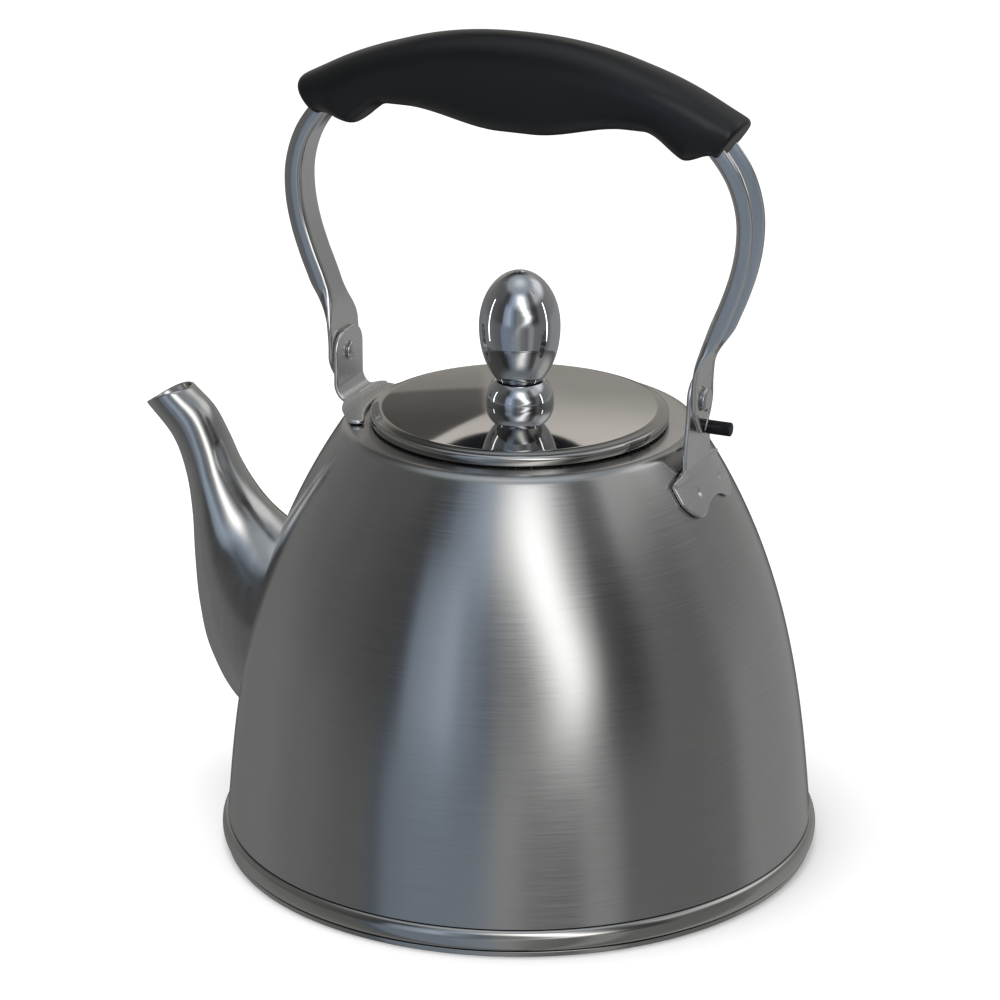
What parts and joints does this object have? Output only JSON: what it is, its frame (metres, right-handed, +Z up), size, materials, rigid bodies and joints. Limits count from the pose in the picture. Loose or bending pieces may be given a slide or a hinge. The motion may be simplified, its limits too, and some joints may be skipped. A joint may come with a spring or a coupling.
{
  "type": "stovetop kettle",
  "caption": "Stovetop whistling kettle of brushed stainless steel with a folding arched handle, a lift-off lid with a round knob and a short upswept spout.",
  "frame": {"origin": "centre of the flat underside of the base, on the body's axis", "axes": "+Z up along the body's axis, -X towards the spout, +Y the side the handle folds down to; handle, brackets and spout lie in the XZ plane"},
  "size_m": [0.2495, 0.21, 0.2884],
  "materials": {
    "brushed_body_steel": "fine circumferential brushing on stainless sheet",
    "polished_steel": "buffed stainless, near mirror",
    "satin_steel": "satin stainless",
    "chrome_knob": "mirror chrome plate",
    "spreader_aluminium": "pressed, dull",
    "grip_plastic": "black moulded phenolic, satin",
    "peg_black": "black oxide steel"
  },
  "bodies": {
    "kettle_body": {"body_shell": "brushed_body_steel", "base_bead": "polished_steel", "base_floor": "polished_steel", "heat_spreader": "spreader_aluminium", "base_cap": "polished_steel", "spout": "polished_steel", "front_bracket": "satin_steel", "rear_bracket": "satin_steel", "front_rivet": "satin_steel", "rear_rivet": "satin_steel", "stop_peg": "peg_black"},
    "whistle": {"whistle_cup": "satin_steel", "whistle_front_plate": "satin_steel", "whistle_rear_plate": "satin_steel"},
    "lid": {"lid_cover": "polished_steel", "lid_skirt": "satin_steel", "knob": "chrome_knob", "knob_collar": "chrome_knob", "knob_screw": "satin_steel", "knob_washer": "satin_steel"},
    "handle": {"front_arm": "satin_steel", "rear_arm": "satin_steel", "grip": "grip_plastic", "front_grip_screw": "satin_steel", "rear_grip_screw": "satin_steel"}
  },
  "joints": [
    {"name": "handle_fold", "type": "hinge", "parent": "kettle_body", "child": "handle", "pos_m": [0, 0, 0.1697], "axis": [-1, 0, 0], "range_deg": [0, 95]},
    {"name": "lid_lift", "type": "slide", "parent": "kettle_body", "child": "lid", "axis": [0, 0, 1], "range_m": [0, 0.04]},
    {"name": "whistle_pull", "type": "slide", "parent": "kettle_body", "child": "whistle", "axis": [-0.722, 0, 0.6919], "range_m": [0, 0.03]}
  ]
}
